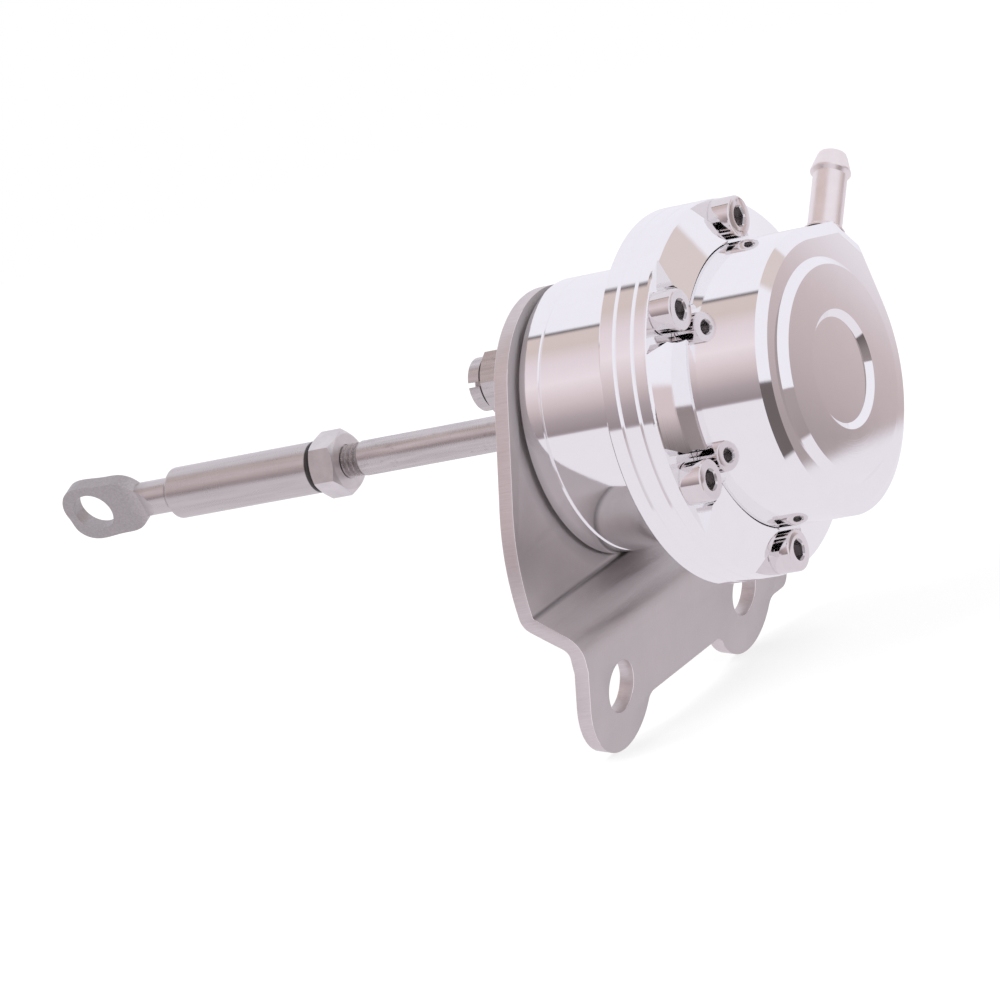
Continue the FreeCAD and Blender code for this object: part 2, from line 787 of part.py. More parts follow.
def spring_seat():
    """Pressed steel cup that centres the spring on the base."""
    start = base_thickness
    inner = hub_radius + free_gap
    outer = spring_mean_radius + spring_wire_radius + spring_seat_play
    thick = spring_seat_thickness
    profile = [(start, inner), (start, outer + thick), (start + spring_seat_lip, outer + thick),
               (start + spring_seat_lip, outer), (start + thick, outer), (start + thick, inner)]
    return revolve(profile)


# Rod and its guides


def push_rod():
    """Rod with a threaded outer end and a shouldered inner end through the piston."""
    shoulder = piston_crown_back - piston_hub_length
    end = washer_start() + washer_thickness + piston_nut_height + rod_tip_overhang
    edge = thread_edge
    profile = [(rod_thread_end, 0), (rod_thread_end, rod_thread_radius - edge),
               (rod_thread_end + edge, rod_thread_radius), (rod_thread_start, rod_thread_radius),
               (rod_thread_start, rod_radius), (shoulder, rod_radius), (shoulder, rod_stud_radius),
               (end - edge, rod_stud_radius), (end, rod_stud_radius - edge), (end, 0)]
    return revolve(profile)


def rod_bush():
    """Bronze bush pressed in the canister's hub."""
    return tube(seal_depth, seal_depth + min(bush_length, hub_height - seal_depth), bush_radius,
                rod_radius + bush_clearance)


def rod_seal():
    """Wiper ring in the mouth of the hub."""
    return tube(0, seal_depth, seal_radius, rod_radius + seal_clearance)


def rod_lock_nut():
    """Thin lock nut on the rod's thread."""
    nut = hex_nut(lock_nut_front - lock_nut_height, lock_nut_front, lock_nut_flats,
                  rod_thread_radius + thread_clearance)
    return turned(nut, lock_nut_clock_degrees)


# Rod end


def rod_end():
    """Threaded sleeve that runs through a neck into an eye pressed flat."""
    front = lock_nut_front - lock_nut_height
    back = front - sleeve_length
    flat_end = back - neck_length
    hole_place = flat_end - eye_reach
    sleeve = revolve([(front, 0), (front, sleeve_radius - sleeve_lead), (front - sleeve_lead, sleeve_radius),
                      (back + sleeve_edge, sleeve_radius), (back, sleeve_radius - sleeve_edge), (back, 0)])
    sleeve = fillet_at(sleeve, sleeve_edge / 2, lambda edge: is_circle(edge, back + sleeve_edge, sleeve_radius))
    neck = rod(hole_place, back, neck_radius).cut(eye_relief(hole_place, flat_end))
    blade = eye_outline(hole_place, flat_end).extrude(Vector(0, eye_thickness, 0))
    blade.translate(Vector(0, -eye_thickness / 2, 0))
    end = sleeve.fuse([neck, blade]).removeSplitter()
    reach = 2 * eye_thickness
    hole = Part.makeCylinder(eye_hole_radius, 2 * reach, Vector(hole_place, -reach, 0), Vector(0, 1, 0))
    bore = rod(front - sleeve_bore_depth, front, rod_thread_radius + thread_clearance)
    return turned(end.cut([hole, bore]), eye_clock_degrees - 90)


def eye_outline(hole_place, flat_end):
    """Leaf-shaped outline of the eye: blunt at its tip, widest past the hole, round where the neck starts."""
    tip = hole_place - eye_hole_radius - eye_wall
    wide = (hole_place + flat_end) / 2 - eye_wall
    upper = [(tip + eye_tip_bulge, eye_tip_half_width), (tip + eye_corner, eye_corner_half_width),
             (wide, eye_half_width), (flat_end - eye_shoulder, eye_shoulder_half_width),
             (flat_end - eye_tip_bulge, neck_radius)]
    lower = [(place, -height) for place, height in reversed(upper)]
    points = [Vector(place, 0, height) for place, height in [(tip, 0)] + upper + lower]
    curve = Part.BSplineCurve()
    curve.interpolate(points, True)
    return Part.Face(Part.Wire([curve.toShape()]))


def eye_relief(hole_place, flat_end):
    """Space that the round neck loses where it is pressed flat, run out towards the sleeve."""
    half = eye_thickness / 2
    far = 2 * neck_radius
    end = flat_end + eye_run_out
    profile = [(hole_place, half), (flat_end, half), (end, neck_radius), (end, far), (hole_place, far),
               (hole_place, half)]
    solids = []
    for sign in (1, -1):
        face = Part.Face(Part.makePolygon([Vector(place, sign * lift, -far) for place, lift in profile]))
        solids.append(face.extrude(Vector(0, 0, 2 * far)))
    return solids


NODES = {
    "bracket": bracket,
    "bracket_studs": bracket_studs,
    "stud_lock_nuts": stud_nuts,
    "canister": canister,
    "cover_ring": cover_ring,
    "cap_screws": cap_screws,
    "cap": cap,
    "hose_nipple": hose_nipple,
    "nipple_seal": nipple_seal,
    "diaphragm": diaphragm,
    "piston": piston,
    "diaphragm_plate": clamp_plate,
    "piston_washer": piston_washer,
    "piston_nut": piston_nut,
    "main_spring": main_spring,
    "spring_seat": spring_seat,
    "push_rod": push_rod,
    "rod_bush": rod_bush,
    "rod_seal": rod_seal,
    "rod_lock_nut": rod_lock_nut,
    "rod_end": rod_end,
}


def main():
    """Writes one STEP file for each piece, moved so that the origin is between the bolt holes."""
    os.makedirs("parts", exist_ok=True)
    origin_shift = tab_spot(0, ear_hole_place, -plate_thickness) * -1
    for name, make in NODES.items():
        shape = make()
        shape.translate(origin_shift)
        shape.exportStep("parts/%s.step" % name)
        print("%-16s solids %d valid %s volume %.1f" % (name, len(shape.Solids), shape.isValid(), shape.Volume))


main()
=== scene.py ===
"""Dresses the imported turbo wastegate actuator: finishes, threads, screws, softened edges and the studio."""
import json
import math

import bmesh
import bpy
from mathutils import Matrix, Vector


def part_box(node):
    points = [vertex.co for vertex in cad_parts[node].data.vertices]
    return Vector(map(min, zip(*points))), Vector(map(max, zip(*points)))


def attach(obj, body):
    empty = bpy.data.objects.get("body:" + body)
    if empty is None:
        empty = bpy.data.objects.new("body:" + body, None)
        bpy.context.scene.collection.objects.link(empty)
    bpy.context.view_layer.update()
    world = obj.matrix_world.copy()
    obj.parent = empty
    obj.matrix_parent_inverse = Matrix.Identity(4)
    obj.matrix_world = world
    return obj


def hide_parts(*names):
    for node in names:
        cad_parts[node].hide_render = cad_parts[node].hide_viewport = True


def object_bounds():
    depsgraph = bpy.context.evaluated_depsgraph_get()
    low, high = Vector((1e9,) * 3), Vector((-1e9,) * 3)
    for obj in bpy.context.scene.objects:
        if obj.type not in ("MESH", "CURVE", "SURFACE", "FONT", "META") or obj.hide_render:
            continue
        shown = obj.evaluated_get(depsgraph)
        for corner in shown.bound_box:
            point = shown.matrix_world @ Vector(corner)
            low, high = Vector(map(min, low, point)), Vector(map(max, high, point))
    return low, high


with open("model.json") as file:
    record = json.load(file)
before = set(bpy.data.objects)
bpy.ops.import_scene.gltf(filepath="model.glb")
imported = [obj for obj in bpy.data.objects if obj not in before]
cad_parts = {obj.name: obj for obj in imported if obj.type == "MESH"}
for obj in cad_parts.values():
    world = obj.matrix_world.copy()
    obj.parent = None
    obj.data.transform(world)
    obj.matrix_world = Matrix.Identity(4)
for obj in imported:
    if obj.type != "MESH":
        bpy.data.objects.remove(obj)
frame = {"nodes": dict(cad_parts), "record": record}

CAD_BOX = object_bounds()

bl_info = {
    "name": "Turbo wastegate actuator",
    "version": (1, 0, 0),
    "blender": (4, 5, 0),
    "location": "3D View > Sidebar > Actuator",
    "description": "Finishes and fine detail of a turbo wastegate actuator",
    "category": "Object",
}

MM = 0.001
# The rod's axis and the canister's base in the model's frame
AXIS_HEIGHT = sum(corner.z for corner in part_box("cover_ring")) / 2
BASE_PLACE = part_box("canister")[0].x
# Lays a piece drawn about Z onto the rod's axis, with its X up
ON_AXIS = Matrix(((0, 0, 1, BASE_PLACE), (0, -1, 0, 0), (1, 0, 0, AXIS_HEIGHT), (0, 0, 0, 1)))

# Sides of the round pieces
ROD_STEPS = 96
THREAD_STEPS = 40
SCREW_STEPS = 48
FLOOR_STEPS = 96
# Screws: edges of the shank and of the head's foot, mouth and floor of the hexagon
SHANK_EDGE = 0.4 * MM
FOOT_EDGE = 0.15 * MM
MOUTH_WIDTH = 0.12 * MM
MOUTH_DEPTH = 0.3 * MM
FLOOR_CONE = 0.5 * MM
# Round top edge of a screw's head, as millimetres under the top and in from the side
HEAD_ROUND = ((0.45, 0), (0.25, 0.06), (0.08, 0.2), (0, 0.42))
# Rod: ends of the thread's ridge, step in front of the thread, and shares of the pitch that the ridge takes
LEAD_IN = 0.6 * MM
RUN_OUT = 0.3 * MM
THREAD_STEP = 0.1 * MM
RIDGE_FOOT = 0.9
RIDGE_TOP = 0.15
# How far a face of the bracket leans before it counts as a cut edge, or as the rounded strip along one that
# takes a painted highlight
CUT_LEAN = 0.3
HIGHLIGHT_STRIP_LEAN = 0.2
# Rounding of the bracket: corners this close are merged, faces this level joined, and sharper edges rounded
MERGED = 0.002 * MM
LEVEL = math.radians(0.5)
ROUNDED = math.radians(40)

# A soft border is a start and a width, which is negative where the share falls.
# Bracket, in millimetres from the rod's axis: painted shade round the canister's foot and over the bend, and
# the bend
FOOT_SHADE = (26.0, -3.2)
FOOT_SHADE_END = (-22.2, 0.5)
BEND_START = (-20.0, -3.0)
BEND_END = (-32.0, 3.0)
# Middle of the crease at the bend's start, and how the painted shade in the crease fades to both sides
CREASE = -22.75
CREASE_SHADE_FADE = (0.55, -0.4)
# Rod end, in millimetres: place of the pressed eye, and how far from the sleeve's inner end the painted shade
# of the gap in front of the lock nut reaches
PRESSED_EYE = (-90.0, -5.0)
GAP_SHADE_WIDTH = 1.4
GAP_SHADE_FADE = 0.2

# Room that the metal mirrors: the paper on its floor ends this far from the middle at bearing 0, each degree
# of bearing adds to that, and the edge is soft over a width
PAPER_EDGE = 133 * MM
PAPER_EDGE_DEGREE = 1.35 * MM
PAPER_EDGE_WIDTH = 8 * MM
# Tones of the room at angles in degrees: a colour, a share of the gloom, or the name of a studio colour.
# Floor past the paper, by bearing from +X
FLOOR_STRIPS = ((-40, "paper"), (-30, 1.1), (-18, 0.85), (-10, 0.66), (-4, 0.38), (5, 0.38), (10, 1.7),
                (17, 1.7), (25, 1.0), (48, 1.0), (51, 1.3), (54, 1.5), (56.5, "paper"))
# Floor, walls and ceiling along the rod, by turn about X from straight up towards -Y
ROOM_STRIPS = ((-180, "paper"), (-108, "paper"), (-82.8, "backdrop"), (-2, "backdrop"), (-1, "dark"),
               (0.5, "dark"), (2, (0.68, 0.57, 0.55)), (14, (0.66, 0.56, 0.54)), (27, (0.77, 0.67, 0.71)),
               (45, (0.85, 0.75, 0.79)), (63, (0.64, 0.54, 0.555)), (75, (0.43, 0.36, 0.38)),
               (87, (0.31, 0.255, 0.275)), (88.5, "paper"))
# Soft borders of the wall on the cap's side by its share of +X, and of its foot as a sine
END_WALL = (0.2, 0.2)
END_WALL_FOOT = (0.01, -0.02)
# Soft borders of the screen on that wall: its sides by bearing in degrees, its foot and its top as sines
SCREEN_SIDES = ((27, 3), (52, -2))
SCREEN_FOOT = (0.02, 0.02)
SCREEN_TOP = (0.52, -0.1)

# Grey of the world for dull surfaces, grey of the floor, and the share of its own light that the camera sees
WORLD_GREY = 0.75
FLOOR_GREY = 0.9
FLOOR_GLOW = 0.75
# Lamps with their place and size in metres and their power in watts, all turned to one point
LAMPS = (("key", (-0.25, -0.75, 0.95), 0.9, 11.0), ("fill", (0.9, -0.35, 0.55), 0.7, 5.0),
         ("back", (-0.5, 0.8, 0.8), 0.8, 5.0))
LAMP_AIM = (0, 0, 0.04)


# Settings


def length(name, description, default):
    """Length property in metres from a value in millimetres."""
    return bpy.props.FloatProperty(name=name, description=description, default=default * MM,
                                   unit="LENGTH", precision=5)


def angle(name, description, default):
    """Angle property from a value in degrees."""
    return bpy.props.FloatProperty(name=name, description=description, default=math.radians(default),
                                   subtype="ANGLE")


def colour(name, description, default):
    """Colour property."""
    return bpy.props.FloatVectorProperty(name=name, description=description, default=default,
                                         subtype="COLOR", size=3, min=0, max=1)


class ACTUATOR_PG_sizes(bpy.types.PropertyGroup):
    """Sizes of the fine detail. Places along the rod are counted from the canister's base."""
    rod_radius: length("Rod radius", "Radius of the push rod", 3.0)
    rod_edge: length("Rod edge", "Width of the push rod's edges", 0.4)
    rod_shoulder: length("Rod shoulder", "Place where the rod steps down to its inner stud", 26.0)
    rod_stud: length("Rod stud", "Radius of the rod's inner stud", 2.5)
    thread_crest: length("Thread crest", "Radius of the rod's thread at its crest", 2.95)
    thread_root: length("Thread root", "Radius of the rod's thread at its root", 2.45)
    thread_pitch: length("Thread pitch", "Distance from one turn of the thread to the next", 1.0)
    thread_start: length("Thread start", "Place where the rod's thread begins", -46.1)
    thread_end: length("Thread end", "Place of the rod's outer end", -72.0)
    screw_circle: length("Screw circle", "Radius of the circle of ring screws", 27.5)
    screw_head: length("Screw head", "Radius of a ring screw's head", 3.5)
    screw_seat: length("Screw seat", "Place of the pocket floors", 30.0)
    screw_height: length("Screw height", "Height of a ring screw's head", 4.0)
    screw_socket: length("Screw socket", "Width of a ring screw's hexagon", 3.0)
    socket_depth: length("Socket depth", "Depth of a ring screw's hexagon", 2.2)
    screw_shank: length("Screw shank", "Radius of a ring screw's shank", 2.0)
    screw_length: length("Screw length", "Length of a ring screw under its head", 8.0)
    screw_count: bpy.props.IntProperty(name="Screws", description="Number of ring screws", default=6, min=1)
    screw_turn: angle("First screw", "Angle of the first ring screw from up", -14)
    socket_turn: angle("Hexagon turn", "Turn of each screw's hexagon against the one before", 108.862)
    edge_round: length("Edge round", "Width of the softened edges of the bracket", 0.16)


class ACTUATOR_PG_colours(bpy.types.PropertyGroup):
    """Colours of the finishes."""
    polished: colour("Polished aluminium", "Canister, ring and cap", (0.955, 0.95, 0.955))
    machined: colour("Machined aluminium", "Piston and its plate", (0.78, 0.78, 0.78))
    plate: colour("Brushed stainless", "Bracket", (0.585, 0.545, 0.54))
    rod: colour("Turned stainless", "Rod, studs, stud nuts and rod end", (0.64, 0.605, 0.60))
    nut: colour("Nut steel", "Lock nut on the rod", (0.82, 0.79, 0.785))
    screw: colour("Polished stainless", "Ring screws", (0.84, 0.80, 0.80))
    nickel: colour("Nickel", "Hose nipple", (0.95, 0.89, 0.88))
    spring: colour("Spring steel", "Main spring", (0.42, 0.42, 0.43))
    bronze: colour("Bronze", "Bush of the rod", (0.58, 0.40, 0.22))
    rubber: colour("Black rubber", "Seals", (0.02, 0.02, 0.02))
    membrane: colour("Diaphragm rubber", "Diaphragm", (0.30, 0.05, 0.04))


class ACTUATOR_PG_studio(bpy.types.PropertyGroup):
    """Camera and light."""
    aim: bpy.props.FloatVectorProperty(name="Aim", description="Point at the middle of the picture", size=3,
                                       default=(-0.016266, -0.01183, 0.030962), subtype="TRANSLATION")
    azimuth: angle("Azimuth", "Turn of the camera about the upright", 33.116)
    elevation: angle("Elevation", "Height of the camera as an angle", 11.796)
    roll: angle("Roll", "Tilt of the camera about its own axis", -17.765)
    distance: length("Distance", "From the aim to the camera", 1000.0)
    lens: bpy.props.FloatProperty(name="Lens", description="Focal length in millimetres", default=217.8,
                                  unit="CAMERA")
    floor_radius: length("Floor radius", "Radius of the pale floor", 700.0)
    floor_drop: length("Floor drop", "Depth of the floor under the lowest ear", 0.2)
    paper: colour("Paper", "Tone of the floor as the metal shows it", (0.83, 0.79, 0.85))
    backdrop: colour("Backdrop", "Tone of the wall behind the object", (0.89, 0.87, 0.94))
    gloom: colour("Gloom", "Tone of the room past the paper's edge", (0.40, 0.335, 0.345))
    dark: colour("Dark", "Tone of the darkest things in the room", (0.16, 0.14, 0.15))
    screen: colour("Screen", "Tone of the screen on the wall on the cap's side", (0.70, 0.61, 0.60))


# Shader nodes


def rgb(values):
    """Colour with full alpha."""
    return (*values, 1.0)


def grey(value):
    """Grey with full alpha."""
    return (value, value, value, 1.0)


def shaded(shade, share):
    """Darker or lighter kind of a colour."""
    return rgb([min(1, value * share) for value in shade])


class Wire:
    """A shader socket that takes part in plain arithmetic."""

    def __init__(self, paint, socket):
        self.paint = paint
        self.socket = socket

    def __add__(self, other):
        return self.paint.maths("ADD", self, other)

    def __sub__(self, other):
        return self.paint.maths("SUBTRACT", self, other)

    def __rsub__(self, other):
        return self.paint.maths("SUBTRACT", other, self)

    def __mul__(self, other):
        return self.paint.maths("MULTIPLY", self, other)

    def __truediv__(self, other):
        return self.paint.maths("DIVIDE", self, other)

    __radd__ = __add__
    __rmul__ = __mul__


class Paint:
    """Node tree of one material or of the world."""

    def __init__(self, owner):
        owner.use_nodes = True
        self.tree = owner.node_tree
        self.tree.nodes.clear()

    def node(self, kind, settings=None, values=None, out=0):
        """Adds a node, sets it up, feeds its sockets and gives one of its outputs, or a list of them."""
        made = self.tree.nodes.new(kind)
        for name, value in (settings or {}).items():
            if name == "stops":
                self.stops(made.color_ramp, value)
            else:
                setattr(made, name, value)
        for name, value in (values or {}).items():
            if isinstance(value, Wire):
                self.tree.links.new(value.socket, made.inputs[name])
            else:
                made.inputs[name].default_value = value
        if isinstance(out, tuple):
            return [Wire(self, made.outputs[name]) for name in out]
        return Wire(self, made.outputs[out]) if made.outputs else None

    @staticmethod
    def stops(ramp, stops):
        """Sets a ramp's stops from (place, colour) pairs."""
        while len(ramp.elements) < len(stops):
            ramp.elements.new(1.0)
        for element, (place, tone) in zip(ramp.elements, stops):
            element.position = place
            element.color = tone

    def maths(self, operation, *values):
        """Math node."""
        return self.node("ShaderNodeMath", {"operation": operation}, dict(enumerate(values)))

    def clamped(self, value, low, high):
        """Value held between two limits."""
        return self.node("ShaderNodeClamp", {}, {"Value": value, "Min": low, "Max": high})

    def rise(self, value, start, width):
        """Share that grows from 0 to 1 over a width from a start, or falls where the width is negative."""
        return self.clamped((value - start) / width, 0.0, 1.0)

    def reach(self, first, second):
        """Length of the way that two numbers at right angles give."""
        return self.maths("SQRT", first * first + second * second)

    def bearing(self, ahead, side):
        """Angle in degrees of a way that goes this far ahead and to the side."""
        return self.maths("ARCTAN2", side, ahead) * (180 / math.pi)

    def band(self, value, stops):
        """Ramp of colours over a value from 0 to 1."""
        return self.node("ShaderNodeValToRGB", {"stops": stops}, {"Fac": value})

    def tint(self, share, first, second):
        """Mix of two colours."""
        return self.node("ShaderNodeMix", {"data_type": "RGBA"}, {0: share, 6: first, 7: second}, out=2)

    def place(self, scale=(1, 1, 1)):
        """Object coordinates in millimetres about the rod's axis, stretched by a scale."""
        factors = [1000 * share for share in scale]
        centre = (0, 0, -AXIS_HEIGHT * factors[2])
        where = self.node("ShaderNodeTexCoord", out="Object")
        return self.node("ShaderNodeMapping", {}, {"Vector": where, "Location": centre, "Scale": factors})

    def parts(self, vector):
        """The three numbers of a vector."""
        return self.node("ShaderNodeSeparateXYZ", {}, {"Vector": vector}, out=("X", "Y", "Z"))

    def turned(self):
        """Place along the rod's axis, height over it and distance from it, all in millimetres."""
        along, side, up = self.parts(self.place())
        return along, up, self.reach(side, up)

    def noise(self, vector, scale, detail=2.0, rough=0.5):
        """Noise from 0 to 1."""
        return self.node("ShaderNodeTexNoise", {}, {"Vector": vector, "Scale": scale, "Detail": detail,
                                                    "Roughness": rough})

    def rings(self, value, scale, detail):
        """Noise along one number, for a lathe's marks."""
        return self.node("ShaderNodeTexNoise", {"noise_dimensions": "1D"},
                         {"W": value, "Scale": scale, "Detail": detail})

    def bump(self, height, depth):
        """Normal from a height between 0 and 1 that stands for a depth in millimetres."""
        return self.node("ShaderNodeBump", {}, {"Height": height, "Distance": depth * MM, "Strength": 1.0})

    def mark(self, name):
        """Number that a mesh carries under a name, 0 where it carries none."""
        return self.node("ShaderNodeAttribute", {"attribute_name": name}, out="Fac")

    def surface(self, **sockets):
        """Principled surface on the material's output."""
        named = {name.replace("_", " "): value for name, value in sockets.items()}
        shader = self.node("ShaderNodeBsdfPrincipled", {}, named)
        self.node("ShaderNodeOutputMaterial", {}, {"Surface": shader})


def room_tone(studio, tone):
    """Colour of a strip's tone."""
    if isinstance(tone, str):
        return rgb(getattr(studio, tone))
    if isinstance(tone, tuple):
        return rgb(tone)
    return shaded(studio.gloom, tone)


def room_tones(paint, studio, degrees, strips, half):
    """Tones of the room's strips over an angle in degrees between -half and half."""
    stops = [((start + half) / (2 * half), room_tone(studio, tone)) for start, tone in strips]
    return paint.band(paint.clamped((degrees + half) / (2 * half), 0.0, 1.0), stops)


def mirror_finish(paint, shade):
    """Mirror polish with a trace of the turning marks and faint cloudy wiping marks."""
    along, _, radius = paint.turned()
    marks = paint.rings(along + radius, scale=9.0, detail=3.0)
    wipe = paint.noise(paint.place(), scale=0.35, detail=3.0)
    polish = paint.clamped(0.02 + wipe * 0.05 + marks * 0.02, 0.02, 0.12)
    paint.surface(Base_Color=paint.tint(wipe, shaded(shade, 0.97), rgb(shade)), Metallic=1.0,
                  Roughness=polish, Normal=paint.bump(marks, depth=0.001))


def machined_finish(paint, shade):
    """Turned metal with visible tool marks."""
    along, _, radius = paint.turned()
    marks = paint.rings(along + radius, scale=6.0, detail=2.0)
    paint.surface(Base_Color=paint.tint(marks, shaded(shade, 0.9), rgb(shade)), Metallic=1.0,
                  Roughness=0.22 + marks * 0.12, Normal=paint.bump(marks, depth=0.004))


def plate_finish(paint, shade):
    """Tumbled stainless sheet: fine grain, cloudy patches, scratches, draw marks where it is bent, painted
    shade near the canister and in the bend's crease, and painted highlights on the cut edges.
    """
    grain = paint.noise(paint.place((1, 1, 0.35)), scale=9.0, detail=4.0, rough=0.7)
    cloud = paint.noise(paint.place(), scale=0.12, detail=3.0)
    scratch = paint.band(paint.noise(paint.place((0.12, 1.6, 0.12)), scale=2.2, detail=5.0, rough=0.8),
                         [(0.0, grey(0.0)), (0.62, grey(0.0)), (0.68, grey(1.0))])
    _, up, radius = paint.turned()
    # Painted shade: darker where the sheet lies close to the canister, above its bend, and in the crease at
    # the bend's start
    close = paint.rise(radius, *FOOT_SHADE) * paint.rise(up, *FOOT_SHADE_END)
    crease = paint.rise(paint.maths("ABSOLUTE", up - CREASE), *CREASE_SHADE_FADE)
    shadow = paint.clamped(close * 0.6 + crease * 0.7, 0.0, 1.0)
    # Drawn lengthways through the bend
    bend = paint.rise(up, *BEND_START) * paint.rise(up, *BEND_END)
    drawn = paint.noise(paint.place((1.0, 0.05, 1.0)), scale=0.9, detail=4.0, rough=0.7) * bend
    wear = paint.clamped(cloud * 0.5 + scratch * 0.3 + grain * 0.4 + 0.12 - drawn * 0.4, 0.0, 1.0)
    tone = paint.tint(wear, shaded(shade, 0.76), shaded(shade, 1.14))
    tone = paint.tint(shadow, tone, shaded(shade, 0.35))
    # Painted highlight: the cut edges are lighter, with the shear's real ticks across them, and the rounded
    # strips along them lighter still
    cut = paint.mark("cut")
    ticks = paint.noise(paint.place((0.05, 1.0, 1.0)), scale=5.0, detail=4.0, rough=0.7)
    bright = paint.tint(ticks, shaded(shade, 1.02), shaded(shade, 1.4))
    bright = paint.tint(paint.mark("burr"), bright, shaded(shade, 1.75))
    relief = grain * 0.8 + scratch * 0.3 + drawn * 2 + cut * ticks
    paint.surface(Base_Color=paint.tint(cut, tone, bright), Metallic=1.0,
                  Roughness=paint.clamped(0.28 + cloud * 0.14 + grain * 0.12, 0.2, 0.6),
                  Normal=paint.bump(relief, depth=0.03))


def turned_finish(paint, shade):
    """Turned stainless: fine rings round the axis under long faint streaks and small stains."""
    along, _, _ = paint.parts(paint.place())
    rings = paint.rings(along, scale=3.2, detail=4.0)
    streak = paint.noise(paint.place((0.06, 1.0, 1.0)), scale=1.4, detail=3.0)
    stain = paint.band(paint.noise(paint.place((0.5, 1.0, 1.0)), scale=0.9, detail=6.0, rough=0.75),
                       [(0.0, grey(1.0)), (0.34, grey(1.0)), (0.42, grey(0.0))])
    share = paint.clamped(streak * 1.6 - 0.3 - stain * 0.6, 0.0, 1.0)
    paint.surface(Base_Color=paint.tint(share, shaded(shade, 0.76), shaded(shade, 1.12)), Metallic=1.0,
                  Roughness=paint.clamped(0.18 + rings * 0.12 + streak * 0.08, 0.1, 0.5),
                  Normal=paint.bump(rings, depth=0.006))


def nut_finish(paint, shade):
    """Satin nut steel with a fine grain and soft clouds."""
    grain = paint.noise(paint.place(), scale=5.0, detail=3.0)
    cloud = paint.noise(paint.place(), scale=0.5, detail=3.0)
    tone = paint.tint(cloud * 0.7 + grain * 0.3, shaded(shade, 0.72), shaded(shade, 1.1))
    paint.surface(Base_Color=tone, Metallic=1.0, Roughness=0.30 + grain * 0.14,
                  Normal=paint.bump(grain, depth=0.01))


def rod_end_finish(paint, shade):
    """Turned sleeve that goes over into a dull pressed eye, with a dark band of painted shade in front of the
    lock nut where the gap is.
    """
    along, _, _ = paint.parts(paint.place())
    rings = paint.rings(along, scale=3.2, detail=4.0)
    streak = paint.noise(paint.place((0.06, 1.0, 1.0)), scale=1.4, detail=3.0)
    grain = paint.noise(paint.place(), scale=3.0, detail=4.0)
    pressed = paint.rise(along + grain * 3, *PRESSED_EYE)
    # Painted shade: a dark band at the sleeve's inner end stands for the shadowed gap in front of the lock
    # nut
    painted_gap_shade = paint.rise(along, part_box("rod_end")[1].x / MM - GAP_SHADE_WIDTH, GAP_SHADE_FADE)
    tone = paint.tint(streak, shaded(shade, 0.80), shaded(shade, 1.10))
    tone = paint.tint(painted_gap_shade, tone, shaded(shade, 0.12))
    dull = paint.tint(grain, shaded(shade, 0.50), shaded(shade, 0.86))
    rough = paint.clamped(0.20 + rings * 0.10 + streak * 0.08 + pressed * 0.08, 0.1, 0.6)
    paint.surface(Base_Color=paint.tint(pressed, tone, dull), Metallic=1.0, Roughness=rough,
                  Normal=paint.bump(rings * (1.0 - pressed) * 0.5 + grain * pressed, depth=0.015))


def bright_finish(paint, shade):
    """Polished steel with slight cloudiness, duller and darker inside a screw's hexagon."""
    cloud = paint.noise(paint.place(), scale=0.6)
    inside = paint.mark("socket")
    tone = paint.tint(inside, paint.tint(cloud, shaded(shade, 0.9), rgb(shade)), shaded(shade, 0.6))
    paint.surface(Base_Color=tone, Metallic=1.0, Roughness=0.05 + cloud * 0.08 + inside * 0.2)


def nickel_finish(paint, shade):
    """Satin nickel with soft lines round the leaning nipple and small dull patches."""
    lean = (math.radians(45), 0, 0)
    leaning = paint.node("ShaderNodeMapping", {}, {"Vector": paint.place(), "Rotation": lean})
    drawn_out = paint.node("ShaderNodeVectorMath", {"operation": "MULTIPLY"},
                           {0: leaning, 1: (0.05, 0.05, 1.0)})
    lines = paint.noise(drawn_out, scale=3.0, detail=3.0)
    cloud = paint.noise(paint.place(), scale=0.5, detail=3.0)
    paint.surface(Base_Color=paint.tint(cloud, shaded(shade, 0.9), rgb(shade)), Metallic=1.0,
                  Roughness=paint.clamped(0.24 + cloud * 0.12, 0.1, 0.5),
                  Normal=paint.bump(lines, depth=0.004))


def rubber_finish(paint, shade):
    """Matt rubber with a fine grain."""
    grain = paint.noise(paint.place(), scale=4.0, detail=3.0)
    paint.surface(Base_Color=paint.tint(grain, shaded(shade, 0.7), shaded(shade, 1.5)), Metallic=0.0,
                  Roughness=0.55 + grain * 0.2, Normal=paint.bump(grain, depth=0.01))


# What makes the finish of a record slot, or of a node that has its own, and the colour that it takes
FINISHES = {
    "polished_aluminium": (mirror_finish, "polished"),
    "machined_aluminium": (machined_finish, "machined"),
    "brushed_stainless": (plate_finish, "plate"),
    "bright_stainless": (turned_finish, "rod"),
    "screw_steel": (bright_finish, "screw"),
    "nickel": (nickel_finish, "nickel"),
    "spring_steel": (bright_finish, "spring"),
    "bronze": (machined_finish, "bronze"),
    "black_rubber": (rubber_finish, "rubber"),
    "diaphragm_rubber": (rubber_finish, "membrane"),
    "rod_lock_nut": (nut_finish, "nut"),
    "rod_end": (rod_end_finish, "rod"),
}


def finish(slot):
    """Material of a record slot, or of a node with its own entry, made on first use."""
    name = "finish_" + slot
    if name not in bpy.data.materials:
        make, shade = FINISHES[slot]
        material = bpy.data.materials.new(name)
        make(Paint(material), tuple(getattr(bpy.context.scene.actuator_colours, shade)))
    return bpy.data.materials[name]


# Meshes


def linked(name, data):
    """New object in the scene."""
    made = bpy.data.objects.new(name, data)
    bpy.context.scene.collection.objects.link(made)
    return made


def plain_mesh(carrier):
    """Mesh of an object with its modifiers applied, which takes the place of the object."""
    graph = bpy.context.evaluated_depsgraph_get()
    graph.update()
    mesh = bpy.data.meshes.new_from_object(carrier.evaluated_get(graph))
    carrier.modifiers.clear()
    bpy.data.objects.remove(carrier)
    return mesh


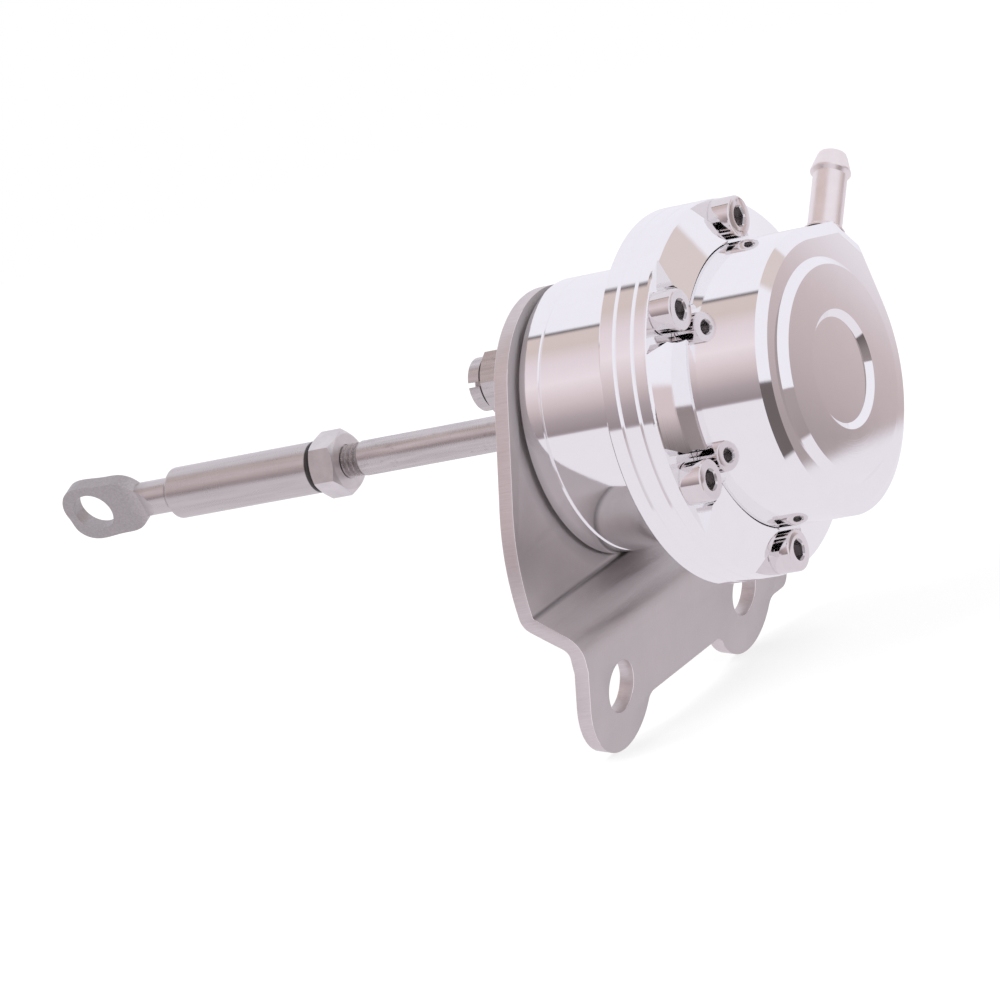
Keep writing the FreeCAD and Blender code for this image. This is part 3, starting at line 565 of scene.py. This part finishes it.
def new_piece(name, mesh, slot, body, *nodes):
    """Links a mesh as a piece of the object that rides on a body and stands for CAD nodes."""
    piece = linked(name, mesh)
    if not mesh.materials:
        mesh.materials.append(finish(slot))
    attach(piece, body)
    if nodes:
        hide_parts(*nodes)


def lathe(profile, steps):
    """Solid about Z from (place, radius) pairs that begin and end on the axis.

    A radius may also be a function that gives it for a turn in radians.
    """
    build = bmesh.new()
    rings = []
    for place, radius in profile:
        if radius == 0:
            rings.append([build.verts.new((0, 0, place))] * steps)
            continue
        ring = []
        for step in range(steps):
            turn = 2 * math.pi * step / steps
            reach = radius(turn) if callable(radius) else radius
            ring.append(build.verts.new((reach * math.cos(turn), reach * math.sin(turn), place)))
        rings.append(ring)
    for low, high in zip(rings, rings[1:]):
        for step in range(steps):
            after = (step + 1) % steps
            corners = (low[step], low[after], high[after], high[step])
            build.faces.new(list(dict.fromkeys(corners)))
    return build


def finished_mesh(build, name, matrix=ON_AXIS, crease=30):
    """Turns a build into a mesh at its place, with outward normals and sharp creases."""
    bmesh.ops.remove_doubles(build, verts=build.verts, dist=1e-7)
    bmesh.ops.transform(build, matrix=matrix, verts=build.verts)
    bmesh.ops.recalc_face_normals(build, faces=build.faces)
    mesh = bpy.data.meshes.new(name)
    build.to_mesh(mesh)
    build.free()
    mesh.shade_smooth()
    mesh.set_sharp_from_angle(angle=math.radians(crease))
    return mesh


def marked(mesh, name, holds):
    """Writes 1 on the faces for which a test holds, and 0 on the others."""
    mark = mesh.attributes.new(name, "FLOAT", "FACE")
    for face in mesh.polygons:
        mark.data[face.index].value = 1.0 if holds(face) else 0.0


class Growth:
    """Geometry node tree with named inputs."""

    def __init__(self, name, inputs):
        self.tree = bpy.data.node_groups.new(name, "GeometryNodeTree")
        self.keys = {}
        for label, kind in inputs.items():
            socket = self.tree.interface.new_socket(label, in_out="INPUT", socket_type="NodeSocket" + kind)
            self.keys[label] = socket.identifier
        self.tree.interface.new_socket("Geometry", in_out="OUTPUT", socket_type="NodeSocketGeometry")
        self.given = self.tree.nodes.new("NodeGroupInput")
        self.last = self.tree.nodes.new("NodeGroupOutput")

    def take(self, label):
        """One of the tree's inputs."""
        return self.given.outputs[label]

    def node(self, kind, settings=None, values=None, out=0):
        """Adds a node, sets it up, feeds its sockets and gives one of its outputs."""
        made = self.tree.nodes.new(kind)
        for name, value in (settings or {}).items():
            setattr(made, name, value)
        for name, value in (values or {}).items():
            if isinstance(value, bpy.types.NodeSocket):
                self.tree.links.new(value, made.inputs[name])
            else:
                made.inputs[name].default_value = value
        return made.outputs[out]

    def upright(self, value):
        """Way along Z, or turn about it."""
        return self.node("ShaderNodeCombineXYZ", {}, {"Z": value})

    def close(self, geometry, material):
        """Ends the tree in real geometry with a material."""
        real = self.node("GeometryNodeRealizeInstances", {}, {"Geometry": geometry})
        coat = self.node("GeometryNodeSetMaterial", {}, {"Geometry": real, "Material": material})
        self.tree.links.new(coat, self.last.inputs[0])

    def grow(self, values):
        """Plain mesh that the tree gives for its inputs."""
        carrier = linked(self.tree.name, bpy.data.meshes.new(self.tree.name))
        modifier = carrier.modifiers.new("growth", "NODES")
        modifier.node_group = self.tree
        for label, value in values.items():
            modifier[self.keys[label]] = value
        carrier.update_tag()
        return plain_mesh(carrier)


# Pieces


def thread_mesh(sizes, height, material):
    """Screw thread about Z from 0 to a height, as a swept ridge whose lower half lies in the core."""
    grown = Growth("rod_thread", {"Root": "Float", "Turns": "Float", "Height": "Float", "Ridge": "Float",
                                  "Base": "Float", "Flat": "Float", "Material": "Material"})
    path = grown.node("GeometryNodeCurveSpiral", {}, {
        "Resolution": THREAD_STEPS, "Rotations": grown.take("Turns"), "Start Radius": grown.take("Root"),
        "End Radius": grown.take("Root"), "Height": grown.take("Height")})
    steady = grown.node("GeometryNodeSetCurveNormal", {"mode": "Z_UP"}, {"Curve": path})
    ridge = grown.node("GeometryNodeCurvePrimitiveQuadrilateral", {"mode": "TRAPEZOID"}, {
        "Bottom Width": grown.take("Base"), "Top Width": grown.take("Flat"),
        "Height": grown.take("Ridge"), "Offset": 0.0})
    sweep = grown.node("GeometryNodeCurveToMesh", {}, {
        "Curve": steady, "Profile Curve": ridge, "Fill Caps": True})
    grown.close(sweep, grown.take("Material"))
    return grown.grow({"Root": sizes.thread_root, "Turns": height / sizes.thread_pitch, "Height": height,
                       "Ridge": 2 * (sizes.thread_crest - sizes.thread_root),
                       "Base": sizes.thread_pitch * RIDGE_FOOT, "Flat": sizes.thread_pitch * RIDGE_TOP,
                       "Material": material})


class ACTUATOR_OT_rod(bpy.types.Operator):
    """Makes the push rod with its real thread"""
    bl_idname = "actuator.rod"
    bl_label = "Push rod"

    def execute(self, context):
        sizes = context.scene.actuator_sizes
        low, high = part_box("push_rod")
        outer = low.x - BASE_PLACE
        inner = high.x - BASE_PLACE
        start = sizes.thread_start
        root = sizes.thread_root
        radius = sizes.rod_radius
        stud = sizes.rod_stud
        edge = sizes.rod_edge
        profile = [(outer, 0), (outer, root - edge), (outer + edge, root), (start - edge, root),
                   (start, radius - THREAD_STEP), (start + RUN_OUT, radius),
                   (sizes.rod_shoulder, radius), (sizes.rod_shoulder, stud),
                   (inner - edge, stud), (inner, stud - edge), (inner, 0)]
        mesh = finished_mesh(lathe(profile, ROD_STEPS), "push_rod_turned")
        new_piece("push_rod_turned", mesh, "bright_stainless", "rod", "push_rod")
        first = sizes.thread_end + LEAD_IN
        thread = thread_mesh(sizes, start - RUN_OUT - first, finish("bright_stainless"))
        thread.transform(ON_AXIS @ Matrix.Translation((0, 0, first)))
        thread.shade_flat()
        new_piece("rod_thread", thread, "bright_stainless", "rod")
        return {"FINISHED"}


def hexagon(flat):
    """Reach of a hexagon by turn, from half its width across the flats."""
    sixth = math.pi / 3
    return lambda turn: flat / math.cos((turn + sixth / 2) % sixth - sixth / 2)


def screw_mesh(sizes):
    """Socket head cap screw about Z with its seat at 0."""
    head = sizes.screw_head
    shank = sizes.screw_shank
    tip = -sizes.screw_length
    top = sizes.screw_height
    floor = top - sizes.socket_depth
    flat = sizes.screw_socket / 2
    corner = flat / math.cos(math.pi / 6)
    profile = [(tip, 0), (tip, shank - SHANK_EDGE), (tip + SHANK_EDGE, shank), (0, shank),
               (0, head - FOOT_EDGE), (FOOT_EDGE, head)]
    profile += [(top - down * MM, head - inwards * MM) for down, inwards in HEAD_ROUND]
    profile += [(top, corner + MOUTH_WIDTH), (top - MOUTH_DEPTH, hexagon(flat)), (floor, hexagon(flat)),
                (floor - FLOOR_CONE, 0)]
    mesh = finished_mesh(lathe(profile, SCREW_STEPS), "ring_screw", Matrix.Identity(4), crease=28)
    marked(mesh, "socket", lambda face: 0 < face.center.z < top - MOUTH_DEPTH / 3
           and face.center.xy.length < corner)
    return mesh


class ACTUATOR_OT_screws(bpy.types.Operator):
    """Places the six socket screws round the ring"""
    bl_idname = "actuator.screws"
    bl_label = "Ring screws"

    def execute(self, context):
        sizes = context.scene.actuator_sizes
        pattern = bpy.data.objects.new("screw_pattern", screw_mesh(sizes))
        grown = Growth("ring_screws", {"Screw": "Object", "Count": "Int", "Circle": "Float", "First": "Float",
                                       "Stagger": "Float", "Seat": "Float", "Material": "Material"})
        circle = grown.node("GeometryNodeMeshCircle", {}, {
            "Vertices": grown.take("Count"), "Radius": grown.take("Circle")})
        screw = grown.node("GeometryNodeObjectInfo", {}, {"Object": grown.take("Screw")}, out="Geometry")
        index = grown.node("GeometryNodeInputIndex")
        turn = grown.node("ShaderNodeMath", {"operation": "MULTIPLY"}, {0: index, 1: grown.take("Stagger")})
        placed = grown.node("GeometryNodeInstanceOnPoints", {}, {
            "Points": circle, "Instance": screw, "Rotation": grown.upright(turn)})
        moved = grown.node("GeometryNodeTransform", {}, {
            "Geometry": placed, "Translation": grown.upright(grown.take("Seat")),
            "Rotation": grown.upright(grown.take("First"))})
        grown.close(moved, grown.take("Material"))
        mesh = grown.grow({"Screw": pattern, "Count": sizes.screw_count, "Circle": sizes.screw_circle,
                           "First": sizes.screw_turn, "Stagger": sizes.socket_turn, "Seat": sizes.screw_seat,
                           "Material": finish("screw_steel")})
        bpy.data.objects.remove(pattern)
        mesh.transform(ON_AXIS)
        new_piece("ring_screws", mesh, "screw_steel", "housing", "cap_screws")
        return {"FINISHED"}


def softened(node, width):
    """Copy of a CAD node's mesh with merged faces and small round edges."""
    build = bmesh.new()
    build.from_mesh(frame["nodes"][node].data)
    bmesh.ops.remove_doubles(build, verts=build.verts, dist=MERGED)
    bmesh.ops.dissolve_limit(build, angle_limit=LEVEL, verts=build.verts, edges=build.edges)
    mesh = bpy.data.meshes.new(node + "_soft")
    build.to_mesh(mesh)
    build.free()
    mesh.materials.clear()
    carrier = linked(node + "_soft", mesh)
    bevel = carrier.modifiers.new("edges", "BEVEL")
    bevel.width = width
    bevel.segments = 2
    bevel.limit_method = "ANGLE"
    bevel.angle_limit = ROUNDED
    made = plain_mesh(carrier)
    made.shade_smooth()
    made.set_sharp_from_angle(angle=math.radians(35))
    return made


class ACTUATOR_OT_bracket(bpy.types.Operator):
    """Softens the edges of the bent bracket"""
    bl_idname = "actuator.bracket"
    bl_label = "Bracket"

    def execute(self, context):
        mesh = softened("bracket", context.scene.actuator_sizes.edge_round)
        # Marks the cut edges and the rounded strips along them, where the finish paints highlights
        marked(mesh, "cut", lambda face: abs(face.normal.y) > CUT_LEAN or abs(face.normal.x) < CUT_LEAN)
        marked(mesh, "burr", lambda face: abs(face.normal.y) > HIGHLIGHT_STRIP_LEAN and abs(face.normal.x) > CUT_LEAN)
        new_piece("bracket_plate", mesh, "brushed_stainless", "housing", "bracket")
        return {"FINISHED"}


class ACTUATOR_OT_finishes(bpy.types.Operator):
    """Gives every shown CAD piece its own finish, or that of its material slot"""
    bl_idname = "actuator.finishes"
    bl_label = "Finishes"

    def execute(self, context):
        for entry in frame["record"]["subparts"]:
            own = entry["node"] in FINISHES
            for slot in frame["nodes"][entry["node"]].material_slots:
                slot.material = finish(entry["node"] if own else entry["material_slot"])
        return {"FINISHED"}


class ACTUATOR_OT_studio(bpy.types.Operator):
    """Builds the pale floor, the camera, the lamps and the world"""
    bl_idname = "actuator.studio"
    bl_label = "Studio"

    def execute(self, context):
        scene = context.scene
        studio = scene.actuator_studio
        scene.view_settings.view_transform = "Standard"
        self.floor(studio)
        self.camera(scene, studio)
        self.world(scene, studio)
        for lamp in LAMPS:
            self.lamp(*lamp)
        return {"FINISHED"}

    @staticmethod
    def floor(studio):
        """Pale floor that the camera sees almost white, and the metal as paper on the room's own floor."""
        build = bmesh.new()
        level = CAD_BOX[0].z - studio.floor_drop
        bmesh.ops.create_circle(build, cap_ends=True, segments=FLOOR_STEPS, radius=studio.floor_radius,
                                matrix=Matrix.Translation((0, 0, level)))
        mesh = bpy.data.meshes.new("floor")
        build.to_mesh(mesh)
        build.free()
        floor = linked("floor", mesh)
        material = bpy.data.materials.new("pale_floor")
        paint = Paint(material)
        along, side, _ = paint.parts(paint.node("ShaderNodeTexCoord", out="Object"))
        bearing = paint.bearing(along, side)
        reach = paint.reach(along, side) - bearing * PAPER_EDGE_DEGREE
        past = paint.rise(reach, PAPER_EDGE, PAPER_EDGE_WIDTH)
        shown = paint.tint(past, rgb(studio.paper), room_tones(paint, studio, bearing, FLOOR_STRIPS, 90))
        camera, mirrored, through = paint.node(
            "ShaderNodeLightPath", out=("Is Camera Ray", "Is Glossy Ray", "Is Transmission Ray"))
        seen = paint.maths("MAXIMUM", camera, through)
        tone = paint.tint(mirrored, grey(1.0), shown)
        bright = paint.node("ShaderNodeEmission", {}, {"Color": tone, "Strength": 1.0})
        plain = paint.node("ShaderNodeBsdfDiffuse", {}, {"Color": grey(FLOOR_GREY)})
        mixed = paint.node("ShaderNodeMixShader", {}, {0: seen * FLOOR_GLOW + mirrored, 1: plain, 2: bright})
        paint.node("ShaderNodeOutputMaterial", {}, {"Surface": mixed})
        mesh.materials.append(material)

    @staticmethod
    def camera(scene, studio):
        """Camera at the photo's viewing angle."""
        data = bpy.data.cameras.new("camera")
        data.lens = studio.lens
        data.clip_end = 20 * studio.distance
        camera = linked("camera", data)
        camera.matrix_world = (Matrix.Translation(Vector(studio.aim))
                               @ Matrix.Rotation(studio.azimuth, 4, "Z")
                               @ Matrix.Rotation(math.pi / 2 - studio.elevation, 4, "X")
                               @ Matrix.Rotation(studio.roll, 4, "Z")
                               @ Matrix.Translation((0, 0, studio.distance)))
        scene.camera = camera

    @staticmethod
    def lamp(name, place, size, power):
        """Round soft lamp that the metal doesn't mirror."""
        data = bpy.data.lights.new(name, "AREA")
        data.shape = "DISK"
        data.size = size
        data.energy = power
        lamp = linked(name, data)
        lamp.location = place
        lamp.rotation_euler = (Vector(place) - Vector(LAMP_AIM)).to_track_quat("Z", "Y").to_euler()
        lamp.visible_glossy = False

    @staticmethod
    def world(scene, studio):
        """World that is white to the camera, grey to dull surfaces and a room to the metal."""
        world = bpy.data.worlds.new("studio")
        scene.world = world
        paint = Paint(world)
        seen, mirrored = paint.node("ShaderNodeLightPath", out=("Is Camera Ray", "Is Glossy Ray"))
        along, side, up = paint.parts(paint.node("ShaderNodeTexCoord", out="Generated"))
        turn = paint.bearing(up, side * -1.0)
        bearing = paint.bearing(along, side)
        room = room_tones(paint, studio, turn, ROOM_STRIPS, 180)
        screen = paint.rise(up, *SCREEN_FOOT) * paint.rise(up, *SCREEN_TOP)
        for edge in SCREEN_SIDES:
            screen = screen * paint.rise(bearing, *edge)
        wall = paint.tint(screen, rgb(studio.backdrop), rgb(studio.screen))
        floor = room_tones(paint, studio, bearing, FLOOR_STRIPS, 90)
        wall = paint.tint(paint.rise(up, *END_WALL_FOOT), wall, floor)
        room = paint.tint(paint.rise(along, *END_WALL), room, wall)
        tone = paint.tint(seen, paint.tint(mirrored, grey(WORLD_GREY), room), grey(1.0))
        light = paint.node("ShaderNodeBackground", {}, {"Color": tone, "Strength": 1.0})
        paint.node("ShaderNodeOutputWorld", {}, {"Surface": light})


OPERATORS = (ACTUATOR_OT_finishes, ACTUATOR_OT_rod, ACTUATOR_OT_screws, ACTUATOR_OT_bracket,
             ACTUATOR_OT_studio)
GROUPS = {"actuator_sizes": ACTUATOR_PG_sizes, "actuator_colours": ACTUATOR_PG_colours,
          "actuator_studio": ACTUATOR_PG_studio}


class ACTUATOR_PT_panel(bpy.types.Panel):
    """Lists the pieces and the studio"""
    bl_idname = "ACTUATOR_PT_panel"
    bl_label = "Wastegate actuator"
    bl_space_type = "VIEW_3D"
    bl_region_type = "UI"
    bl_category = "Actuator"

    def draw(self, context):
        for operator in OPERATORS:
            self.layout.operator(operator.bl_idname)
        for name, group in GROUPS.items():
            box = self.layout.box()
            for prop in group.__annotations__:
                box.prop(getattr(context.scene, name), prop)


def register():
    """Registers the settings, the operators and the panel."""
    for item in (*GROUPS.values(), *OPERATORS, ACTUATOR_PT_panel):
        bpy.utils.register_class(item)
    for name, group in GROUPS.items():
        setattr(bpy.types.Scene, name, bpy.props.PointerProperty(type=group))


def unregister():
    """Takes them away again."""
    for name in GROUPS:
        delattr(bpy.types.Scene, name)
    for item in (ACTUATOR_PT_panel, *reversed(OPERATORS), *reversed(tuple(GROUPS.values()))):
        bpy.utils.unregister_class(item)


def main():
    """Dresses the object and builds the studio."""
    register()
    for operator in OPERATORS:
        group, name = operator.bl_idname.split(".")
        getattr(getattr(bpy.ops, group), name)()


if __name__ == "__main__":
    main()
